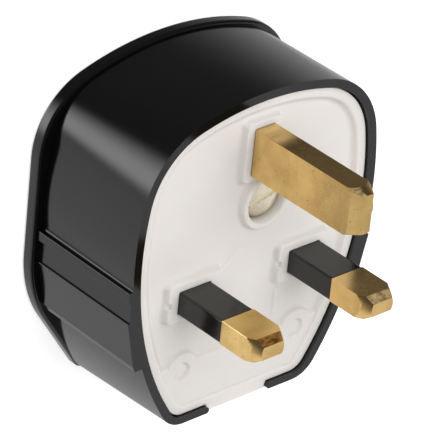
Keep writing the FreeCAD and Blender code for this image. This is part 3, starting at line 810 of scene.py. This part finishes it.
def build_blade(name, x, y, wide, thin, top, tip, neck, upright):
    """Pin blade of given half sizes with a worked tip; a neck takes the sleeve."""
    corner = math.hypot(wide, thin) - BLADE_EDGE
    sections = [(wide, thin, corner, BLADE_LOW)]
    if neck:
        core = (wide - SLEEVE_WALL, thin - SLEEVE_WALL, corner - NECK_CORNER)
        sections.append((wide, thin, corner, SLEEVE_FOOT))
        sections.append((*core, SLEEVE_FOOT + STEP))
        sections.append((*core, SLEEVE_TOP - STEP))
        sections.append((wide - SHOULDER, thin - SHOULDER, corner - SHOULDER_CORNER, SLEEVE_TOP))
        sections.append((wide, thin, corner, SLEEVE_TOP + SHOULDER))

    def turned(down):
        """Radius of the turned end at a depth."""
        return min(corner, tip.reach + tip.slope * down - tip.curve * down ** 2)

    def depth(reach):
        """Depth at which the turned end has a radius."""
        gone = reach - tip.reach
        return 2 * gone / (tip.slope + math.sqrt(tip.slope ** 2 - 4 * tip.curve * gone))

    marks = {depth(corner), depth(wide), tip.start}
    marks |= {tip.start * share for share in BEVEL_SHARES}
    for down in sorted(marks, reverse=True):
        bevel = max(0.0, tip.start - down) / tip.start * tip.taken
        sections.append((wide, thin - bevel, turned(down), top - down))
    return stack(name, draw_blade, [(*section, x, y, upright) for section in sections])


def build_block(name, x, y, half_x, half_y):
    """Terminal block with a wire hole from below and a screw hole from the back."""
    block = stack(name, draw_rectangle, [
        (half_x - BLOCK_EDGE, half_y - BLOCK_EDGE, BLOCK_EDGE_CORNER_R, BLOCK_LOW, x, y),
        (half_x, half_y, BLOCK_CORNER_R, BLOCK_LOW + BLOCK_EDGE, x, y),
        (half_x, half_y, BLOCK_CORNER_R, SEAT_Z, x, y)])
    cut(block, disc("screw_bore", BLOCK_SCREW_R, BLOCK_LOW - CLEAR, BLOCK_WIRE_Z, x, y, BORE_STEPS))
    # Drawn standing at z = -y, then tipped over so that it runs along y
    wire = disc("wire_bore", BLOCK_WIRE_R, -y, half_y + CLEAR - y, x, BLOCK_WIRE_Z)
    activate(wire)
    wire.rotation_euler = (math.pi / 2, 0, 0)
    bpy.ops.object.transform_apply(location=False, rotation=True, scale=False)
    cut(block, wire)
    return block


def build_pins():
    wide = BLADE_WIDTH / 2
    thin = BLADE_THICK / 2
    deep = EARTH_DEPTH / 2
    earth = build_blade(
        "earth_blade", 0, EARTH_Y, deep, thin, EARTH_TOP, EARTH_TIP, neck=False, upright=True)
    join(earth, build_block("earth_block", 0, EARTH_Y, earth_box.size[0] / 2, earth_box.size[1] / 2))
    neutral = build_blade(
        "neutral_blade", PIN_X, 0, wide, thin, BLADE_TOP, BLADE_TIP, neck=True, upright=False)
    join(neutral, build_block("neutral_block", PIN_X, 0, neutral_box.size[0] / 2, neutral_box.size[1] / 2))
    line = build_blade(
        "line_blade", -PIN_X, 0, wide, thin, BLADE_TOP, BLADE_TIP, neck=True, upright=False)
    join(line, bar("line_head", *LINE_HEAD_HALF, LINE_HEAD_CORNER_R, CLIP_Z, SEAT_Z, -PIN_X, 0))
    join(line, disc("rivet", RIVET_R, RIVET_LOW, RIVET_HIGH, -PIN_X, 0, BORE_STEPS))
    for pin in (earth, neutral, line):
        smooth(pin, degrees=16)
    return earth, neutral, line


def build_sleeve(name, x):
    half_x = BLADE_WIDTH / 2
    half_y = BLADE_THICK / 2
    rings = [(SLEEVE_FOOT, 0.0)]
    rings += [(SLEEVE_TOP - drop, inset) for drop, inset in SLEEVE_END]
    sleeve = stack(name, draw_rectangle, [
        (half_x - inset, half_y - inset, SLEEVE_CORNER_R - inset / 2, z, x, 0) for z, inset in rings])
    cut(sleeve, bar(
        "core", half_x - SLEEVE_WALL, half_y - SLEEVE_WALL, SLEEVE_CORE_CORNER_R,
        SLEEVE_FOOT - CLEAR, SLEEVE_TOP + CLEAR, x, 0))
    smooth(sleeve, degrees=40)
    return sleeve


def build_screw():
    """Cheese head screw with a crowned, slotted head."""
    rings = [
        (SCREW_R - SCREW_POINT, SCREW_END), (SCREW_R, SCREW_END + SCREW_POINT), (SCREW_R, SCREW_HEAD_LOW),
        (SCREW_HEAD_R, SCREW_HEAD_LOW + STEP)]
    rings += [(SCREW_HEAD_R - inset, SCREW_HEAD_Z - drop) for drop, inset in SCREW_CROWN]
    screw = stack("cover_fixing", draw_circle, [(radius, z, 0, 0) for radius, z in rings])
    cut(screw, stack("slot", draw_rectangle, [
        (SCREW_SLOT_LONG, half, SCREW_SLOT_CORNER_R, SCREW_HEAD_Z + rise, 0, 0)
        for half, rise in SCREW_SLOT]))
    place_piece(screw, SCREW_X, SCREW_Y, SCREW_TURN)
    smooth(screw, degrees=30)
    return screw


class Wire:
    """A socket whose arithmetic adds Math nodes."""

    def __init__(self, tree, socket):
        self.tree = tree
        self.socket = socket

    def maths(self, operation, first, second):
        return self.tree.node("ShaderNodeMath", {"operation": operation}, {0: first, 1: second})

    def __add__(self, other):
        return self.maths("ADD", self, other)

    def __radd__(self, other):
        return self.maths("ADD", other, self)

    def __sub__(self, other):
        return self.maths("SUBTRACT", self, other)

    def __rsub__(self, other):
        return self.maths("SUBTRACT", other, self)

    def __mul__(self, other):
        return self.maths("MULTIPLY", self, other)

    def __rmul__(self, other):
        return self.maths("MULTIPLY", other, self)


class Tree:
    """Nodes of a material or of the world."""

    def __init__(self, owner):
        owner.use_nodes = True
        self.nodes = owner.node_tree.nodes
        self.links = owner.node_tree.links

    def node(self, kind, settings, inputs, output=0):
        """Adds a node: settings first, then the values or links of its sockets; gives one output."""
        made = self.nodes.new(kind)
        for key, value in settings.items():
            setattr(made, key, value)
        for key, value in inputs.items():
            self.put(made.inputs[key], value)
        return Wire(self, made.outputs[output])

    def put(self, socket, value):
        """Links a wire to a socket, or sets its value."""
        if isinstance(value, Wire):
            self.links.new(value.socket, socket)
        else:
            socket.default_value = value

    def band(self, value, low, high):
        """0 below low, 1 above high."""
        settings = {"interpolation_type": "SMOOTHSTEP"}
        return self.node("ShaderNodeMapRange", settings, {0: value, 1: low, 2: high})


class Finish(Tree):
    """A procedural material on one Principled shader."""

    def __init__(self, name):
        self.material = bpy.data.materials.new(name)
        super().__init__(self.material)
        self.shader = self.nodes["Principled BSDF"]
        self.place = self.node("ShaderNodeTexCoord", {}, {}, "Object")

    def look(self, **sockets):
        """Sets or links the shader's sockets."""
        for key, value in sockets.items():
            self.put(self.shader.inputs[key.replace("_", " ")], value)

    def grain(self, size, detail=3.0, rough=0.55, stretch=None):
        """Noise with marks of a size in millimetres, drawn out along an axis whose stretch is below 1."""
        place = self.place
        if stretch:
            place = self.node("ShaderNodeMapping", {}, {"Vector": place, "Scale": stretch})
        inputs = {"Vector": place, "Scale": 1.0 / (size * MM), "Detail": detail, "Roughness": rough}
        return self.node("ShaderNodeTexNoise", {}, inputs, "Fac")

    def blend(self, factor, first, second):
        """Mix of two colours."""
        return self.node("ShaderNodeMix", {"data_type": "RGBA"}, {0: factor, 6: first, 7: second}, 2)

    def bump(self, height, strength, distance):
        inputs = {"Height": height, "Strength": strength, "Distance": distance * MM}
        self.look(Normal=self.node("ShaderNodeBump", {}, inputs))


def colour(r, g, b):
    return (r, g, b, 1.0)


def black_moulding():
    """Glossy black cover, faintly cloudy."""
    f = Finish("black_moulding")
    cloud = f.grain(size=12.0, detail=2.0)
    fine = f.grain(size=0.6, detail=2.0)
    f.look(Base_Color=f.blend(cloud, colour(0.0024, 0.0025, 0.0027), colour(0.0036, 0.0036, 0.0038)))
    f.look(Roughness=0.11 + 0.04 * cloud + 0.03 * fine, IOR=1.54)
    f.bump(fine, strength=0.012, distance=0.02)
    return f.material


def white_moulding():
    """Satin white base that lets a little light in."""
    f = Finish("white_moulding")
    cloud = f.grain(size=7.0)
    fine = f.grain(size=0.3, detail=2.0)
    f.look(Base_Color=f.blend(cloud, colour(0.755, 0.725, 0.69), colour(0.80, 0.77, 0.735)))
    f.look(Roughness=0.3 + 0.12 * cloud + 0.05 * fine, IOR=1.5)
    f.look(Subsurface_Weight=0.6, Subsurface_Radius=(1.0, 0.9, 0.8), Subsurface_Scale=1.4 * MM)
    f.bump(fine, strength=0.04, distance=0.02)
    return f.material


def machined_brass(name, bright, dull, rough):
    """Drawn brass: cloudy tarnish, faint bands across, fine draw lines and a few dark specks."""
    f = Finish(name)
    cloud = f.grain(size=6.0, detail=5.0, rough=0.62)
    bands = f.grain(size=2.4, stretch=(0.35, 0.35, 1.0))
    lines = f.grain(size=0.2, detail=2.0, rough=0.5, stretch=(1, 1, 0.05))
    specks = f.band(f.grain(size=0.5, detail=2.0, rough=0.5), 0.66, 0.74)
    mark = f.band(0.65 * cloud + 0.35 * bands, 0.36, 0.66)
    f.look(Base_Color=f.blend(specks * 0.45, f.blend(mark, bright, dull), colour(0.34, 0.21, 0.08)))
    f.look(Metallic=1.0, Roughness=rough + 0.08 * mark + 0.05 * lines + 0.15 * specks)
    f.bump(lines, strength=0.03, distance=0.02)
    return f.material


def sawn_brass(name, dark, light):
    """The tips' bevels: left as cut, with a torn grain that runs across the blade."""
    f = Finish(name)
    torn = f.grain(size=0.5, detail=4.0, rough=0.6, stretch=(0.35, 1.0, 1.0))
    smear = f.grain(size=1.6, rough=0.5)
    deep = f.band(0.55 * torn + 0.45 * smear, 0.36, 0.62)
    f.look(Base_Color=f.blend(deep, dark, light))
    f.look(Metallic=0.5, Roughness=0.28 + 0.15 * torn)
    f.bump(torn, strength=0.35, distance=0.1)
    return f.material


def screw_finish(name, bright, dull, rim_shade):
    """Plated head, bright in the middle, with painted shade darkening it towards the lower rim."""
    f = Finish(name)
    across = f.node("ShaderNodeSeparateXYZ", {}, {"Vector": f.place}, "X") - SCREW_X * MM
    along = f.node("ShaderNodeSeparateXYZ", {}, {"Vector": f.place}, "Y") - (SCREW_Y + SCREW_SHADE_RISE) * MM
    reach = f.node("ShaderNodeMath", {"operation": "SQRT"}, {0: across * across + along * along})
    cloud = f.grain(size=1.4, rough=0.6)
    fine = f.grain(size=0.25, detail=2.0)
    # Painted shade: the head darkens with distance from a point above its axis, towards the lower rim
    painted_shade = f.band(reach + SCREW_SHADE_DRIFT * MM * cloud, SCREW_SHADE_FROM * MM, SCREW_SHADE_TO * MM)
    f.look(Base_Color=f.blend(painted_shade, f.blend(cloud, bright, dull), rim_shade))
    f.look(Metallic=0.4, Roughness=0.22 + 0.1 * cloud + 0.2 * painted_shade)
    f.bump(fine, strength=0.05, distance=0.02)
    return f.material


def plain_finish(name, light, dark, rough, metallic=0.0):
    """Two close shades in soft clouds over a fine grain."""
    f = Finish(name)
    cloud = f.grain(size=2.0)
    fine = f.grain(size=1 / 6, detail=2.0)
    f.look(Base_Color=f.blend(cloud, light, dark))
    f.look(Metallic=metallic, Roughness=rough + 0.1 * cloud + 0.06 * fine)
    f.bump(fine, strength=0.06, distance=0.02)
    return f.material


def build_world():
    """White sweep on both sides, dark beyond the earth pin and overhead, a bright panel low on the left."""
    world = bpy.data.worlds.new("studio")
    bpy.context.scene.world = world
    t = Tree(world)
    way = t.node("ShaderNodeTexCoord", {}, {}, "Generated")

    def along(*aim):
        return t.node("ShaderNodeVectorMath", {"operation": "DOT_PRODUCT"}, {0: way, 1: aim}, "Value")

    ahead = along(math.cos(DARK_SIDE), math.sin(DARK_SIDE), 0)
    aside = along(-math.sin(DARK_SIDE), math.cos(DARK_SIDE), 0)
    turn = t.node("ShaderNodeMath", {"operation": "ARCTAN2"}, {0: aside, 1: ahead}) * math.degrees(1)
    rise = along(0, 0, 1)
    left = t.band(turn, *LEFT_FADE) * (1 - t.band(rise, *LEFT_TOP))
    right = t.band(0 - turn, *RIGHT_FADE)
    panel = t.band(turn, *PANEL_IN) * (1 - t.band(turn, *PANEL_OUT)) * (1 - t.band(rise, *PANEL_TOP))
    shade = t.band(rise, *SHADE_RISE) * t.band(along(0, 1, 0), *SHADE_AHEAD)
    sweep = (LEFT_LIGHT * left + RIGHT_LIGHT * right) * (1 - t.band(rise, *OVERHEAD)) * (1 - shade)
    background = t.nodes["Background"]
    t.put(background.inputs["Color"], colour(1.0, 1.0, 1.0))
    t.put(background.inputs["Strength"], AMBIENT + sweep + PANEL_LIGHT * panel)


def softbox(name, place, size, power):
    """Large soft lamp aimed at the plug; it lights but does not mirror."""
    clear()
    bpy.ops.object.light_add(type="AREA", location=place)
    lamp = bpy.context.object
    lamp.name = name
    lamp.data.shape = "DISK"
    lamp.data.size = size
    lamp.data.energy = power
    lamp.rotation_euler = (-Vector(place)).to_track_quat("-Z", "Y").to_euler()
    lamp.visible_glossy = False


def build_floor():
    clear()
    bpy.ops.mesh.primitive_plane_add(size=FLOOR_SIZE, location=(0, 0, BACK_Z * MM))
    floor = bpy.context.object
    floor.name = "floor"
    f = Finish("pale_floor")
    cloud = f.grain(size=400.0)
    f.look(Base_Color=f.blend(cloud, colour(0.70, 0.70, 0.70), colour(0.72, 0.72, 0.72)), Roughness=0.9)
    f.look(Emission_Color=colour(1.0, 1.0, 1.0), Emission_Strength=FLOOR_GLOW)
    floor.data.materials.append(f.material)
    floor.visible_glossy = False


def set_camera():
    data = bpy.data.cameras.new("camera")
    data.sensor_fit = "AUTO"
    data.sensor_width = SENSOR
    data.lens = FOCAL_PIXELS * SENSOR / FRAME_HEIGHT
    data.clip_start, data.clip_end = CAMERA_CLIP
    camera = bpy.data.objects.new("camera", data)
    bpy.context.scene.collection.objects.link(camera)
    ahead = CAMERA_AHEAD.normalized()
    right = ahead.cross(CAMERA_UP).normalized()
    up = right.cross(ahead)
    turn = Matrix((right, up, -ahead)).transposed().to_4x4()
    camera.matrix_world = Matrix.Translation(CAMERA_PLACE) @ turn
    bpy.context.scene.camera = camera


def wear(piece, material, slot, *replaced):
    """Gives a piece its finish and its place in the assembly."""
    piece.data.materials.clear()
    piece.data.materials.append(material)
    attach(piece, "root")
    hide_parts(*replaced)


def patch(piece, material, wanted):
    """Gives the faces whose normal passes a test their own finish."""
    piece.data.materials.append(material)
    activate(piece)
    bpy.ops.object.mode_set(mode="EDIT")
    bpy.ops.mesh.select_mode(type="FACE")
    bpy.ops.mesh.select_all(action="DESELECT")
    bpy.ops.object.mode_set(mode="OBJECT")
    for face in piece.data.polygons:
        face.select = wanted(face.normal)
    bpy.ops.object.mode_set(mode="EDIT")
    piece.active_material_index = len(piece.data.materials) - 1
    bpy.ops.object.material_slot_assign()
    bpy.ops.object.mode_set(mode="OBJECT")


def is_bevel(normal):
    """Bevel of a flat pin's broad face."""
    return SAWN_RISE[0] < normal.z < SAWN_RISE[1] and abs(normal.y) > SAWN_ACROSS


def is_earth_bevel(normal):
    """The part of the earth pin's turned end that faces up and to the left."""
    return SAWN_RISE[0] < normal.z < SAWN_RISE[1] and normal.x < EARTH_SAWN_X and normal.y > EARTH_SAWN_Y


def paint(material, *names):
    """Gives nodes that are shown as they are their finish."""
    for name in names:
        shown = nodes[name]
        shown.data.materials.clear()
        shown.data.materials.append(material)


# Studio
set_camera()
build_world()
softbox("key_lamp", LAMP_PLACE, LAMP_SIZE, LAMP_POWER)
build_floor()

# Finishes
black = black_moulding()
white = white_moulding()
pin_brass = machined_brass("pin_brass", colour(0.93, 0.64, 0.26), colour(0.77, 0.51, 0.19), rough=0.18)
# A darker copy of the pin brass for the earth pin: painted shade
earth_brass_painted_shade = machined_brass(
    "earth_brass_painted_shade", colour(0.83, 0.565, 0.225), colour(0.65, 0.425, 0.155), rough=0.18)
sawn_light = sawn_brass("sawn_light", colour(0.20, 0.12, 0.04), colour(0.78, 0.57, 0.27))
# A darker copy of the sawn brass, as painted shade on the line pin's bevels
sawn_painted_shade = sawn_brass("sawn_painted_shade", colour(0.10, 0.045, 0.012), colour(0.50, 0.25, 0.06))
# The third colour is painted shade for the screw head's lower rim
screw_brass = screw_finish(
    "screw_brass", colour(0.96, 0.90, 0.76), colour(0.90, 0.80, 0.58), colour(0.26, 0.20, 0.08))
clip_brass = machined_brass("clip_brass", colour(0.76, 0.58, 0.30), colour(0.60, 0.44, 0.20), rough=0.2)
steel = plain_finish(
    "plated_steel", colour(0.62, 0.60, 0.56), colour(0.50, 0.48, 0.44), rough=0.25, metallic=1.0)
sleeve_grey = plain_finish(
    "sleeve_grey", colour(0.0050, 0.0044, 0.0034), colour(0.0075, 0.0066, 0.0050), rough=0.1)
ceramic = plain_finish("fuse_ceramic", colour(0.82, 0.80, 0.76), colour(0.76, 0.74, 0.70), rough=0.5)
fibre = plain_finish("pressed_fibre", colour(0.20, 0.12, 0.07), colour(0.28, 0.18, 0.11), rough=0.6)
fuse_metal = plain_finish(
    "fuse_metal", colour(0.78, 0.78, 0.76), colour(0.66, 0.66, 0.64), rough=0.2, metallic=1.0)

# Modelled pieces
wear(build_cover(), black, "cover_black", "cover")
wear(build_base(), white, "base_white", "base")
earth, neutral, line = build_pins()
# The earth pin wears the darker copy of the brass: painted shade
wear(earth, earth_brass_painted_shade, "brass", "earth_pin")
wear(neutral, pin_brass, "brass", "neutral_pin")
wear(line, pin_brass, "brass", "line_pin")
patch(neutral, sawn_light, is_bevel)
# The line pin's bevels take the darker copy: painted shade
patch(line, sawn_painted_shade, is_bevel)
patch(earth, sawn_light, is_earth_bevel)
wear(build_sleeve("neutral_shroud", PIN_X), sleeve_grey, "sleeve_grey", "neutral_sleeve")
wear(build_sleeve("line_shroud", -PIN_X), sleeve_grey, "sleeve_grey", "line_sleeve")
wear(build_screw(), screw_brass, "screw_steel", "cover_screw")

# Pieces inside the plug
paint(pin_brass, "cover_insert", "line_terminal", "pin_fuse_cap", "terminal_fuse_cap")
paint(steel, "earth_terminal_screw", "neutral_terminal_screw", "line_terminal_screw")
paint(steel, "line_grip_screw", "neutral_grip_screw")
paint(clip_brass, "pin_fuse_clip", "terminal_fuse_clip")
paint(ceramic, "fuse_tube")
paint(fuse_metal, "fuse_wire")
paint(fibre, "screw_washer", "cord_grip_bar")

bpy.context.scene.view_settings.view_transform = "Standard"
clear()
